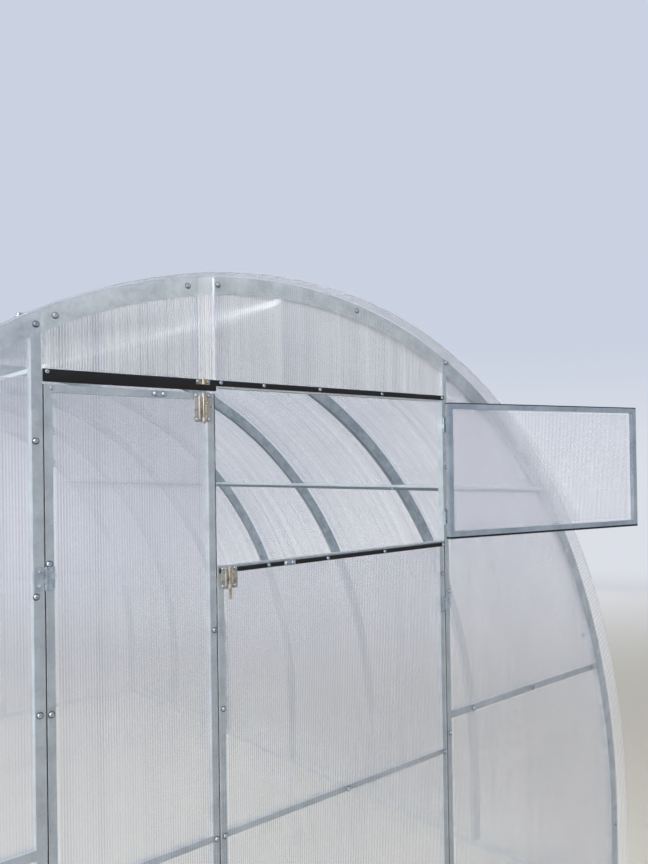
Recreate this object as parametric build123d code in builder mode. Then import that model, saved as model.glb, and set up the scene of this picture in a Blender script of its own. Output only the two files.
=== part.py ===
"""Arched polycarbonate greenhouse on a galvanised tube frame, with a pair of doors in its front wall.

Millimetres, +Z up. The origin is on the ground, in the middle of the front wall, at the middle of its tubes.
X runs to the right along the front wall and Y runs back into the greenhouse.
"""
import math
import os

from build123d import *

# Size of the house, over the arch tubes
width = 3000.0
height = 2100.0
leg_height = 334.0
bay_count = 6
bay_pitch = 663.0

# Tubes: the wall's, the slimmer ones of leaves, sash, head bar and purlins, and the arches' depth
tube = 20.0
slim_tube = 15.0
arch_depth = 40.0
base_width = 40.0
base_height = 20.0
purlin_height = 1563.0

# Sheets
sheet = 4.0
roof_overhang = 36.0
sheet_foot = 4.0
sheet_edge = 1.0
seat = 0.3

# End walls
portal_half = 575.0
head_drop = 267.0
window_height = 408.0
rail_height = 900.0
meeting_line = -190.0

# Leaves and sash
leaf_gap = 5.0
meeting_gap = 7.0
leaf_top_gap = 13.5
mid_rail_height = 805.0
sash_rise = 6.0
sash_angle = 14.0

# Rubber strips
strip = 2.5
strip_rise = 17.0
leaf_strip_height = 25.5
window_strip_height = 13.5
sill_strip_height = 11.0
sill_strip_drop = 4.5
sash_top_seal = 3.0
sash_bottom_seal = 6.0

# Butt hinges
hinge_height = 45.0
hinge_reach = 17.0
hinge_plate = 1.5
knuckle = 3.5
hinge_pin = 2.0
pin_clearance = 0.05
knuckle_gap = 0.4
plate_notch = 4.2
left_hinge_inset = 379.0
right_hinge_inset = 185.0
sash_hinge_inset = 64.0

# Bolt latches
latch_width = 44.0
latch_plate = 1.5
ridge = 3.5
ridge_slope = 60.0
ridge_spread = 8.5
rod = 3.0
rod_clearance = 0.3
strap_wall = 1.5
strap_height = 9.0
upper_latch_height = 65.5
upper_latch_inset = 7.0
upper_rod_length = 69.5
lower_latch_height = 52.0
lower_latch_inset = 4.0
lower_rod_length = 76.0
keeper_width = 36.0
keeper_height = 11.5
keeper_lift = 5.5

# Places that follow from the sizes above
rear_line = bay_count * bay_pitch
head_height = height - head_drop
lower_leaf_top = head_height - window_height
strip_top = head_height + strip_rise
half_tube = tube / 2
front_face = -half_tube
rear_face = rear_line + half_tube
sheet_back = front_face - seat
sheet_face = sheet_back - sheet
rear_sheet_inner = rear_face + seat
post_outer = portal_half + tube
leaf_outer = portal_half - leaf_gap
pin_x = portal_half - leaf_gap / 2
pin_y = sheet_face - knuckle
plate_middle = knuckle - hinge_plate / 2
leaf_foot = base_height + leaf_gap
left_leaf_end = meeting_line - meeting_gap / 2
right_leaf_end = meeting_line + meeting_gap / 2
left_leaf_top = head_height - leaf_top_gap
sash_low = lower_leaf_top + sash_rise
sash_high = head_height - leaf_gap
arch_inside = arch_depth + seat

# Heights of the hinges' middles, set in from the foot and the top of what they carry
left_hinge_heights = (leaf_foot + left_hinge_inset, left_leaf_top - left_hinge_inset)
right_hinge_heights = (leaf_foot + right_hinge_inset, lower_leaf_top - right_hinge_inset)
sash_hinge_heights = (sash_low + sash_hinge_inset, sash_high - sash_hinge_inset)


def wall_at(depth):
    """A plane that faces the front, at a set depth behind the origin."""
    return Plane.XZ.offset(-depth)


def under_arch(inset, foot):
    """The area under the arch, a set distance inside its outer face, down to a foot."""
    side = width / 2 - inset
    rise = height - leg_height - inset
    with BuildSketch() as area:
        with BuildLine():
            EllipticalCenterArc((0, leg_height), side, rise, 0, arc_size=90)
            Polyline((side, leg_height), (side, foot), (0, foot))
            mirror(about=Plane.YZ)
        make_face()
    return area.sketch


def region(x_low, x_high, z_low, z_high):
    """A rectangle between two widths and two heights."""
    with BuildSketch() as area:
        with Locations(((x_low + x_high) / 2, (z_low + z_high) / 2)):
            Rectangle(x_high - x_low, z_high - z_low)
    return area.sketch


def arch_band(outer, inner, foot, front, back):
    """A bent band of the arch's shape between two insets, from its front to its back."""
    with BuildPart() as band:
        with BuildSketch(wall_at(front)):
            add(under_arch(outer, foot))
            add(under_arch(inner, foot - arch_depth), mode=Mode.SUBTRACT)
        extrude(amount=front - back)
    return band.part


def wall_piece(bounds, inset, front, back):
    """A flat piece of an end wall: a rectangle trimmed to the arch, from its front to its back."""
    with BuildPart() as piece:
        with BuildSketch(wall_at(front)):
            add(region(*bounds))
            add(under_arch(inset, 0), mode=Mode.INTERSECT)
        extrude(amount=front - back)
    return piece.part


def long_tube(x, z, wide, high, turn=0.0):
    """A straight tube that runs the length of the house, under or inside the arches."""
    with BuildPart() as run:
        with BuildSketch(wall_at(front_face)):
            with Locations((x, z)):
                Rectangle(wide, high, rotation=turn)
        extrude(amount=front_face - rear_face)
    return run.part


def leaf_frame(face_plane, x_low, x_high, z_low, z_high, rails=()):
    """A welded rectangle of slim tubes with cross rails, one tube thick behind its face plane."""
    bars = [z_low, *rails, z_high - slim_tube]
    with BuildPart() as frame:
        with BuildSketch(face_plane):
            add(region(x_low, x_high, z_low, z_high))
            for bar, next_bar in zip(bars, bars[1:]):
                bay = region(x_low + slim_tube, x_high - slim_tube, bar + slim_tube, next_bar)
                add(bay, mode=Mode.SUBTRACT)
        extrude(amount=-slim_tube)
    return frame.part


def leaf_sheet(face_plane, x_low, x_high, z_low, z_high):
    """The sheet of a leaf, behind its face plane."""
    with BuildPart() as panel:
        with BuildSketch(face_plane):
            add(region(x_low, x_high, z_low, z_high))
        extrude(amount=-sheet)
    return panel.part


def hinge_half(pin_plane, side, heights, inner):
    """One half of a butt hinge at each height: a plate, and its knuckles round the pin.

    The pin stands at the plane's origin. The plate reaches to one side of it and lies on the wall behind it.
    The inner half has the middle knuckle, and the other half has the outer two and the pin.
    """
    third = hinge_height / 3
    starts = [third] if inner else [0.0, 2 * third]
    tab = plate_notch + hinge_plate
    with BuildPart() as half:
        for middle in heights:
            foot = middle - hinge_height / 2
            with BuildSketch(pin_plane.offset(foot)):
                with Locations((side * (plate_notch + hinge_reach) / 2, plate_middle)):
                    Rectangle(hinge_reach - plate_notch, hinge_plate)
            extrude(amount=hinge_height)
            for start in starts:
                with BuildSketch(pin_plane.offset(foot + start + knuckle_gap / 2)):
                    Circle(knuckle)
                    with Locations((side * tab / 2, plate_middle)):
                        Rectangle(tab, hinge_plate)
                    if inner:
                        Circle(hinge_pin + pin_clearance, mode=Mode.SUBTRACT)
                extrude(amount=third - knuckle_gap)
            if not inner:
                with BuildSketch(pin_plane.offset(foot + knuckle_gap / 2)):
                    Circle(hinge_pin)
                extrude(amount=hinge_height - knuckle_gap)
    return half.part


def latch(low_x, top, plate_height, rod_foot, rod_length):
    """A bolt latch on a leaf's sheet: a plate with two pressed ridges, two straps, and a rod in them."""
    middle = low_x + latch_width / 2
    rod_y = sheet_face - latch_plate - rod_clearance - rod
    bore = rod + rod_clearance
    with BuildPart() as fitting:
        with BuildSketch(Plane.XY.offset(top - plate_height)):
            with Locations((middle, sheet_face - latch_plate / 2)):
                Rectangle(latch_width, latch_plate)
            with Locations((middle - ridge_spread, sheet_face), (middle + ridge_spread, sheet_face)):
                Trapezoid(2 * ridge, ridge, ridge_slope, rotation=180, align=(Align.CENTER, Align.MIN))
        extrude(amount=plate_height)
        for strap_foot in (top - plate_height, top - strap_height):
            with BuildSketch(Plane.XY.offset(strap_foot)):
                with Locations((middle, rod_y)):
                    Circle(bore + strap_wall)
                    Circle(bore, mode=Mode.SUBTRACT)
                with Locations((middle, sheet_face + bore)):
                    Rectangle(latch_width, 2 * bore, mode=Mode.SUBTRACT)
            extrude(amount=strap_height)
        with BuildSketch(Plane.XY.offset(rod_foot)):
            with Locations((middle, rod_y)):
                Circle(rod)
        extrude(amount=rod_length)
    return fitting.part


def rubber_strip(bounds, notch=None):
    """A rubber strip on the outer face of the sheets, with a notch round a fitting."""
    with BuildPart() as piece:
        with BuildSketch(wall_at(sheet_face)):
            add(region(*bounds))
            if notch:
                x_low, x_high, z_low, z_high = notch
                add(region(x_low - seat, x_high + seat, z_low - seat, z_high + seat), mode=Mode.SUBTRACT)
        extrude(amount=strip)
    return piece.part


def save(piece, label):
    """Names a finished piece and writes it."""
    piece.label = label
    export_step(piece, f"parts/{label}.step")


os.makedirs("parts", exist_ok=True)

# Arches, one at each bay line, standing on the base rails
for number in range(bay_count + 1):
    line = number * bay_pitch
    arch = arch_band(0, arch_depth, base_height, line - half_tube, line + half_tube)
    save(arch, f"arch_{number + 1}")

# Base rails under the feet of the arches, and across both ends
base_middle = width / 2 - base_width / 2
base_inner = width / 2 - base_width
save(long_tube(-base_middle, base_height / 2, base_width, base_height), "base_rail_left")
save(long_tube(base_middle, base_height / 2, base_width, base_height), "base_rail_right")
end_rail_bounds = (-base_inner, base_inner, 0, base_height)
save(wall_piece(end_rail_bounds, 0, front_face, half_tube), "base_rail_front")
save(wall_piece(end_rail_bounds, 0, rear_line - half_tube, rear_face), "base_rail_rear")

# Purlins on the inner side of the arches: one under the ridge and one on each side, square to the arch
inner_side = width / 2 - arch_depth
inner_rise = height - leg_height - arch_depth
purlin_turn = math.asin((purlin_height - leg_height) / inner_rise)
purlin_lean = math.atan2(math.sin(purlin_turn) / inner_rise, math.cos(purlin_turn) / inner_side)
purlin_inset = seat + slim_tube / 2
purlin_x = inner_side * math.cos(purlin_turn) - purlin_inset * math.cos(purlin_lean)
purlin_z = purlin_height - purlin_inset * math.sin(purlin_lean)
lean_degrees = math.degrees(purlin_lean)
save(long_tube(0, height - arch_depth - purlin_inset, slim_tube, slim_tube), "ridge_purlin")
save(long_tube(-purlin_x, purlin_z, slim_tube, slim_tube, -lean_degrees), "side_purlin_left")
save(long_tube(purlin_x, purlin_z, slim_tube, slim_tube, lean_degrees), "side_purlin_right")

# Front wall: two door posts up to the arch, a head bar between them and a rail on each side
end_bars = {
    "front_post_left": (-post_outer, -portal_half, base_height, height),
    "front_post_right": (portal_half, post_outer, base_height, height),
    "front_head_bar": (-portal_half, portal_half, head_height, head_height + slim_tube),
    "front_rail_left": (-width, -post_outer, rail_height, rail_height + tube),
    "front_rail_right": (post_outer, width, rail_height, rail_height + tube),
}
for label, bounds in end_bars.items():
    save(wall_piece(bounds, arch_inside, front_face, half_tube), label)

# Rear wall: the same bars as one welded frame
with BuildPart() as rear_end_frame:
    with BuildSketch(wall_at(rear_line - half_tube)):
        for bounds in end_bars.values():
            add(region(*bounds))
        add(under_arch(arch_inside, 0), mode=Mode.INTERSECT)
    extrude(amount=-tube)
save(rear_end_frame.part, "rear_end_frame")

# Sheets of the end walls, on the outer face of the tubes and trimmed just inside the roof sheets
front_sheets = {
    "front_sheet_left": (-width, -portal_half, sheet_foot, height),
    "front_sheet_right": (portal_half, width, sheet_foot, height),
    "front_sheet_top_left": (-portal_half, meeting_line, head_height, height),
    "front_sheet_top_right": (meeting_line, portal_half, head_height, height),
}
for label, bounds in front_sheets.items():
    save(wall_piece(bounds, sheet_edge, sheet_face, sheet_back), label)
rear_sheets = {
    "rear_sheet_left": (-width, -portal_half, sheet_foot, height),
    "rear_sheet_right": (portal_half, width, sheet_foot, height),
    "rear_sheet_middle": (-portal_half, portal_half, sheet_foot, height),
}
for label, bounds in rear_sheets.items():
    save(wall_piece(bounds, sheet_edge, rear_sheet_inner, rear_sheet_inner + sheet), label)

# Roof sheets, bent over the arches from ground to ground, that meet over the middle arch
roof_front = sheet_face - roof_overhang
roof_joint = bay_count // 2 * bay_pitch
roof_back = rear_sheet_inner + sheet + roof_overhang
save(arch_band(-seat - sheet, -seat, sheet_foot, roof_front, roof_joint), "roof_sheet_front")
save(arch_band(-seat - sheet, -seat, sheet_foot, roof_joint, roof_back), "roof_sheet_rear")

# Left leaf, the full height of the doorway
left_leaf = (-leaf_outer, left_leaf_end, leaf_foot, left_leaf_top)
save(leaf_frame(wall_at(front_face), *left_leaf, [mid_rail_height]), "left_leaf_frame")
save(leaf_sheet(wall_at(sheet_face), *left_leaf), "left_leaf_sheet")

# Right leaf, up to the sill of the window
right_leaf = (right_leaf_end, leaf_outer, leaf_foot, lower_leaf_top)
save(leaf_frame(wall_at(front_face), *right_leaf, [mid_rail_height]), "right_leaf_frame")
save(leaf_sheet(wall_at(sheet_face), *right_leaf), "right_leaf_sheet")

# Window sash, swung out on the right post. Its plane stands on the hinge pin and faces away from the wall.
sash_turn = math.radians(sash_angle)
sash_out = Vector(-math.sin(sash_turn), -math.cos(sash_turn), 0)
sash_along = Vector(math.cos(sash_turn), -math.sin(sash_turn), 0)
sash_plane = Plane(origin=(pin_x, pin_y, 0), x_dir=sash_along, z_dir=sash_out)
sash_near = leaf_gap / 2
sash_far = pin_x - right_leaf_end
sash_pane = (sash_near, sash_far, sash_low + sash_bottom_seal, sash_high - sash_top_seal)
sash_inner = knuckle + sheet
save(leaf_frame(sash_plane.offset(sash_inner + seat + slim_tube), *sash_pane), "sash_frame")
save(leaf_sheet(sash_plane.offset(sash_inner), *sash_pane), "sash_sheet")
with BuildPart() as sash_seals:
    with BuildSketch(sash_plane.offset(knuckle)):
        add(region(sash_near, sash_far, sash_low, sash_low + sash_bottom_seal))
        add(region(sash_near, sash_far, sash_high - sash_top_seal, sash_high))
    extrude(amount=sheet + seat + slim_tube)
save(sash_seals.part, "sash_seals")

# Butt hinges on the outer face of the sheets
left_pin = Plane(origin=(-pin_x, pin_y, 0), x_dir=(1, 0, 0), z_dir=(0, 0, 1))
right_pin = Plane(origin=(pin_x, pin_y, 0), x_dir=(1, 0, 0), z_dir=(0, 0, 1))
save(hinge_half(left_pin, -1, left_hinge_heights, True), "left_post_hinges")
save(hinge_half(left_pin, 1, left_hinge_heights, False), "left_leaf_hinges")
save(hinge_half(right_pin, 1, right_hinge_heights, True), "right_post_hinges")
save(hinge_half(right_pin, -1, right_hinge_heights, False), "right_leaf_hinges")

# Hinges of the sash, which doesn't move, so each is one solid: a barrel with a plate for post and sash
sash_plate_middle = sash_along * (hinge_reach / 2) + sash_out * plate_middle
with BuildPart() as sash_hinges:
    for middle in sash_hinge_heights:
        with BuildSketch(right_pin.offset(middle - hinge_height / 2)):
            Circle(knuckle)
            with Locations((hinge_reach / 2, plate_middle)):
                Rectangle(hinge_reach, hinge_plate)
            with Locations(sash_plate_middle):
                Rectangle(hinge_reach, hinge_plate, rotation=-sash_angle)
        extrude(amount=hinge_height)
save(sash_hinges.part, "sash_hinges")

# Bolt latches with their rods drawn: the upper one on the left leaf, the lower one on the right leaf
upper_latch_x = left_leaf_end - upper_latch_inset - latch_width
upper_latch_top = left_leaf_top - seat
upper_rod_foot = upper_latch_top - upper_rod_length
lower_latch_x = right_leaf_end + lower_latch_inset
lower_latch_top = lower_leaf_top - seat
lower_rod_foot = lower_latch_top - lower_rod_length
save(
    latch(upper_latch_x, upper_latch_top, upper_latch_height, upper_rod_foot, upper_rod_length),
    "left_leaf_latch",
)
save(
    latch(lower_latch_x, lower_latch_top, lower_latch_height, lower_rod_foot, lower_rod_length),
    "right_leaf_latch",
)

# Keeper of the upper latch, a staple on the head bar
keeper_middle = upper_latch_x + latch_width / 2
keeper_foot = head_height + keeper_lift
keeper_bore = rod + rod_clearance
with BuildPart() as latch_keeper:
    with BuildSketch(Plane.XY.offset(keeper_foot)):
        with Locations((keeper_middle, sheet_face - latch_plate / 2)):
            Rectangle(keeper_width, latch_plate)
        with Locations((keeper_middle, sheet_face - latch_plate - keeper_bore)):
            Circle(keeper_bore + strap_wall)
            Circle(keeper_bore, mode=Mode.SUBTRACT)
        with Locations((keeper_middle, sheet_face + keeper_bore)):
            Rectangle(keeper_width, 2 * keeper_bore, mode=Mode.SUBTRACT)
    extrude(amount=keeper_height)
save(latch_keeper.part, "latch_keeper")

# Rubber strips over the joints of the doorway
keeper_bounds = (
    keeper_middle - keeper_width / 2,
    keeper_middle + keeper_width / 2,
    keeper_foot,
    keeper_foot + keeper_height,
)
lower_latch_bounds = (
    lower_latch_x,
    lower_latch_x + latch_width,
    lower_latch_top - lower_latch_height,
    lower_leaf_top,
)
leaf_strip = (-portal_half, meeting_line, strip_top - leaf_strip_height, strip_top)
window_strip = (meeting_line, portal_half, strip_top - window_strip_height, strip_top)
sill_strip_top = lower_leaf_top - sill_strip_drop
sill_strip = (right_leaf_end, leaf_outer, sill_strip_top - sill_strip_height, sill_strip_top)
save(rubber_strip(leaf_strip, keeper_bounds), "head_strip_left")
save(rubber_strip(window_strip), "head_strip_right")
save(rubber_strip(sill_strip, lower_latch_bounds), "sill_strip")
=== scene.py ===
# %% [markdown]
# # An arched polycarbonate greenhouse
#
# The real object is a tunnel of bent, galvanised steel tubes. Clear twin-wall plastic sheet is bent over
# them and closes both ends. The front has a narrow full-height leaf, a wide lower leaf, and a small window
# that stands open. The engineering model already holds every tube and sheet, so this lesson keeps them and
# gives each one its finish. What it adds is what a fitter adds on site: bolts with their washers, screws,
# small plates, rounded rubber strips, slim seals, the knobs of the latches, and the lap of two sheets.

# %% Load the engineering model
import math

import bmesh
import bpy
from mathutils import Matrix, Vector


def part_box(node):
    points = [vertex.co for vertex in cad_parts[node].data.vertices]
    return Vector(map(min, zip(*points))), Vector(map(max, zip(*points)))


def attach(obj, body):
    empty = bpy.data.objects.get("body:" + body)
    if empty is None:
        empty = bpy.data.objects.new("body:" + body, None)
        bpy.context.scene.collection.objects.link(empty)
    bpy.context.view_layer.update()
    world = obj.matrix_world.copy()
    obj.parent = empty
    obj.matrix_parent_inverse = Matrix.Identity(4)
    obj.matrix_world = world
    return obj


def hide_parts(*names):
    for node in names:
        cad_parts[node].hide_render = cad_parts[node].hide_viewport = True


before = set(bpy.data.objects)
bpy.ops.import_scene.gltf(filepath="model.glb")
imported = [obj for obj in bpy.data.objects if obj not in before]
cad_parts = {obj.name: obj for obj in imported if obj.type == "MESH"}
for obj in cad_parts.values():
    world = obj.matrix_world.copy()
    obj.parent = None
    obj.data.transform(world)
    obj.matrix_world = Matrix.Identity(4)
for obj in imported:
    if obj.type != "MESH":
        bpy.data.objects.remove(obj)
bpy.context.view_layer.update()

scene = bpy.context.scene
scene.view_settings.view_transform = "Standard"
print("pieces in the engineering model:", len(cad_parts))

# %% [markdown]
# ## Small helpers for materials
#
# Colours are easiest to pick as the hex codes of a paint chart, but Blender mixes light in linear numbers.
# One function turns the first into the second. Another adds a shader node, sets it and links it, so that
# each recipe below reads from top to bottom like a list of layers. The last one starts a new material.

# %% Helpers for materials
def linear(hex_code):
    """A hex colour as linear red, green, blue and alpha."""
    parts = [int(hex_code[i:i + 2], 16) / 255 for i in (1, 3, 5)]
    return [c / 12.92 if c <= 0.04045 else ((c + 0.055) / 1.055) ** 2.4 for c in parts] + [1.0]


def add_node(tree, kind, sockets=None, **settings):
    """Adds a node. A socket gets a value, or a link when it is given another node's output."""
    node = tree.nodes.new(kind)
    for name, value in settings.items():
        setattr(node, name, value)
    for name, value in (sockets or {}).items():
        if isinstance(value, bpy.types.NodeSocket):
            tree.links.new(value, node.inputs[name])
        else:
            node.inputs[name].default_value = value
    return node


def start_material(name):
    """A new material with an empty tree, ready for its layers."""
    made = bpy.data.materials.new(name)
    made.use_nodes = True
    made.node_tree.nodes.clear()
    return made, made.node_tree


print("mid grey #808080 in linear light:", round(linear("#808080")[0], 3))

# %% [markdown]
# ## Galvanised steel tube
#
# The tubes are rolled from steel strip that was dipped in zinc. Zinc freezes in crystals, the spangle, about
# 9 mm across, and each crystal mirrors the sky a little differently. A texture of random cells suits it.
# Its colour drives a small change of tone and gloss from cell to cell. Larger clouds of noise are the
# white bloom that new zinc gets in its first rain: it is pale and dull, which is why outdoor tube looks
# chalky and not like chrome. Faces that look downwards are mixed towards a darker tone, which is painted
# shade, and the direction of the surface gives it. The ridge tube keeps a pale tone below as well, which is
# painted light, as it shows lit from below. A fine grain breaks up what is left of the mirror. The plated
# plates and the latches were dipped in different baths, so each has its tones. The tube's copies for the
# arches, purlins and ridge hold painted light and shade: the inner arches are painted darker, the purlins
# paler on top and nearly black below, and the ridge paler.

# %% Galvanised steel
spangle_size, grain_size, surface_relief = 0.009, 0.0012, 0.0003


def galvanised_steel(name, light, dark, gloss, metal, bloom, underside_painted_shade="#555e66"):
    """Zinc on rolled steel: spangle, patches of white bloom of a given size, fine grain, and painted shade
    below.
    """
    made, tree = start_material(name)
    place = add_node(tree, "ShaderNodeTexCoord").outputs["Object"]
    spangle = add_node(tree, "ShaderNodeTexVoronoi", {
        "Vector": place, "Scale": 1 / spangle_size, "Randomness": 1.0}).outputs["Color"]
    crystal = add_node(tree, "ShaderNodeSeparateColor", {"Color": spangle}).outputs["Red"]
    cloud = add_node(tree, "ShaderNodeTexNoise", {
        "Vector": place, "Scale": 1 / bloom, "Detail": 6.0, "Roughness": 0.62}).outputs["Fac"]
    grain = add_node(tree, "ShaderNodeTexNoise", {
        "Vector": place, "Scale": 1 / grain_size, "Detail": 2.0}).outputs["Fac"]
    patches = add_node(tree, "ShaderNodeMapRange", {
        "Value": cloud, "From Min": 0.32, "From Max": 0.68}, interpolation_type="SMOOTHSTEP").outputs[0]
    tone = add_node(tree, "ShaderNodeMix", {
        "Factor": 0.72, "A": crystal, "B": patches}, data_type="FLOAT").outputs[0]
    washed = add_node(tree, "ShaderNodeMix", {
        "Factor": tone, 6: linear(light), 7: linear(dark)}, data_type="RGBA").outputs[2]
    # Painted shade: faces that look downwards are mixed towards a darker tone.
    facing_out = add_node(tree, "ShaderNodeTexCoord").outputs["Normal"]
    level = add_node(tree, "ShaderNodeSeparateXYZ", {"Vector": facing_out}).outputs["Z"]
    painted_underside_mask = add_node(tree, "ShaderNodeMapRange", {
        "Value": level, "From Min": -0.25, "From Max": -0.75, "To Max": 0.75},
        interpolation_type="SMOOTHSTEP").outputs[0]
    colour = add_node(tree, "ShaderNodeMix", {
        "Factor": painted_underside_mask, 6: washed, 7: linear(underside_painted_shade)}, data_type="RGBA").outputs[2]
    rough = add_node(tree, "ShaderNodeMapRange", {
        "Value": tone, "From Min": 0.2, "From Max": 0.8, "To Min": gloss + 0.1, "To Max": gloss - 0.07})
    bump = add_node(tree, "ShaderNodeBump", {"Strength": 0.25, "Distance": surface_relief, "Height": grain})
    shader = add_node(tree, "ShaderNodeBsdfPrincipled", {
        "Base Color": colour, "Metallic": metal, "Roughness": rough.outputs[0], "Normal": bump.outputs[0]})
    add_node(tree, "ShaderNodeOutputMaterial", {"Surface": shader.outputs[0]})
    return made


# The copies below hold painted light and shade: darker arches, purlins with painted shade below, and a ridge
# painted pale as a highlight.
tube_zinc = galvanised_steel("galvanised steel tube", "#b6bfc4", "#99a3aa", 0.42, 0.35, 0.05)
arch_zinc_painted_shade = galvanised_steel("galvanised steel tube, arches", "#aab4bc", "#828f99", 0.4, 0.45, 0.04)
purlin_zinc_painted_light_and_shade = galvanised_steel("galvanised steel tube, purlins", "#bcc6cd", "#9ca7b0", 0.4, 0.45, 0.03,
                               underside_painted_shade="#262c32")
ridge_zinc_painted_light = galvanised_steel("galvanised steel tube, ridge", "#dce2e6", "#cad1d7", 0.4, 0.15, 0.045,
                              underside_painted_shade="#d6dce1")
front_zinc = galvanised_steel("galvanised steel tube, front arch", "#bcc5cc", "#8f9aa3", 0.42, 0.35, 0.045)
sash_zinc = galvanised_steel("galvanised steel tube, new", "#b0bac3", "#8a95a2", 0.36, 0.7, 0.12)
plate_zinc = galvanised_steel("bright zinc plated steel", "#bcc6ce", "#95a1ab", 0.25, 0.85, 0.02)
latch_plate_zinc = galvanised_steel("zinc plated latch steel", "#bab6b1", "#99938d", 0.32, 0.55, 0.015)
latch_zinc = galvanised_steel("yellow passivated zinc plate", "#b0a693", "#8c8169", 0.32, 0.65, 0.02)
steels = (tube_zinc, arch_zinc_painted_shade, purlin_zinc_painted_light_and_shade, ridge_zinc_painted_light, front_zinc, sash_zinc, plate_zinc,
          latch_plate_zinc, latch_zinc)
print("steel finishes:", "; ".join(m.name for m in steels))

# %% [markdown]
# ## Where tubes lie behind a sheet
#
# A tube that touches the back of a sheet is seen nearly clear, with hardly a line on it, and what is further
# off is smeared. The sheet's material can't find the tubes by itself, so each sheet gets a list of them: an
# axis, the middle on that axis, and half the width. They are worked out from the boxes of the engineering
# model. The arch is half an ellipse on two short legs, so a point lies over it where its distance from the
# middle, with each axis divided by the reach of the ellipse, is more than one. Sizes of the house and of
# its small parts are in millimetres, as on a drawing. Patterns, and what a material compares with a
# place, are in metres, which is Blender's own unit.

# %% Tubes behind a sheet
width, height, leg_height, arch_depth = 3000, 2100, 334, 40
slim_tube = 15
stile_spread = 0.004
never_reached = 9.0


def frame_bars(left, right, bottom, top, *rails):
    """The tubes round a frame between two ends of its run, and its rails at the given heights."""
    half = slim_tube / 2000
    stiles = [("run", at, half + stile_spread) for at in (left + half, right - half)]
    return stiles + [("height", z, half) for z in (bottom + half, top - half, *rails)]


def leaf_bars(node, *rails):
    """The tubes of a leaf's frame, whose run is along X."""
    low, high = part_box(node)
    return frame_bars(low[0], high[0], low[2], high[2], *rails)


def node_bars(kind, axis, spread, *nodes):
    """The tubes that fill the width of a node's box on one axis, widened by a little spread."""
    boxes = [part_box(node) for node in nodes]
    return [(kind, (low[axis] + high[axis]) / 2, (high[axis] - low[axis]) / 2 + spread)
            for low, high in boxes]


def over_tubes(tree, place, run, bars, under_arch):
    """A value that is 1 where a tube touches the back of the sheet, and 0 in the bays between."""
    spot = add_node(tree, "ShaderNodeSeparateXYZ", {"Vector": place})
    along = {"run": run, "height": spot.outputs["Z"]}
    rise = add_node(tree, "ShaderNodeMath", {0: spot.outputs["Z"], 1: leg_height / 1000},
                    operation="SUBTRACT").outputs[0]
    rise = add_node(tree, "ShaderNodeMath", {0: rise, 1: 0.0}, operation="MAXIMUM").outputs[0]
    flat = add_node(tree, "ShaderNodeCombineXYZ", {"X": spot.outputs["X"], "Y": rise}).outputs[0]
    per_reach = (1000 / (width / 2 - arch_depth), 1000 / (height - leg_height - arch_depth), 0)
    scaled = add_node(tree, "ShaderNodeVectorMath", {0: flat, 1: per_reach}, operation="MULTIPLY").outputs[0]
    reach = add_node(tree, "ShaderNodeVectorMath", {0: scaled}, operation="LENGTH").outputs["Value"]
    covered = add_node(tree, "ShaderNodeMath", {0: reach, 1: 1.0 if under_arch else never_reached},
                       operation="GREATER_THAN").outputs[0]
    for kind, middle, half in bars:
        bar = add_node(tree, "ShaderNodeMath", {0: along[kind], 1: middle, 2: half},
                       operation="COMPARE").outputs[0]
        covered = add_node(tree, "ShaderNodeMath", {0: covered, 1: bar}, operation="MAXIMUM").outputs[0]
    return covered


print("tubes behind the left leaf's sheet:", len(leaf_bars("left_leaf_frame")))

# %% [markdown]
# ## Twin-wall polycarbonate
#
# The sheet is two thin clear skins joined by webs every 5.7 mm, so it is a row of long square tubes, the
# flutes. They act as a row of lenses, which smear what is behind them across the flutes, but not along them.
# The sheet is solid in the model, as thin as the real one, and the flutes are drawn in its material,
# because most views show them finer than a pixel. A pattern runs across them, in the direction given for
# each sheet. A wave on it drives the bump, which does the smearing, and every web is a grey line with a
# white line of painted highlight, a painted glint, beside it. Both are drawn several times as wide as the
# real web, which is thinner than 0.5 mm and wouldn't show. A one-dimensional noise on the same line makes
# some flutes lighter, and a slow noise leaves parts of the sheet hazier.

# %% Twin-wall polycarbonate
flute_pitch = 0.0057
web_core, web_edge = 0.06, 0.24
# Where the painted highlight beside each web lies, as a share of one flute.
painted_glint_middle, painted_glint_half = 0.38, 0.14
streak_size, haze_size = 0.05, 0.35
over_tube_cover = 0.3


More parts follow.
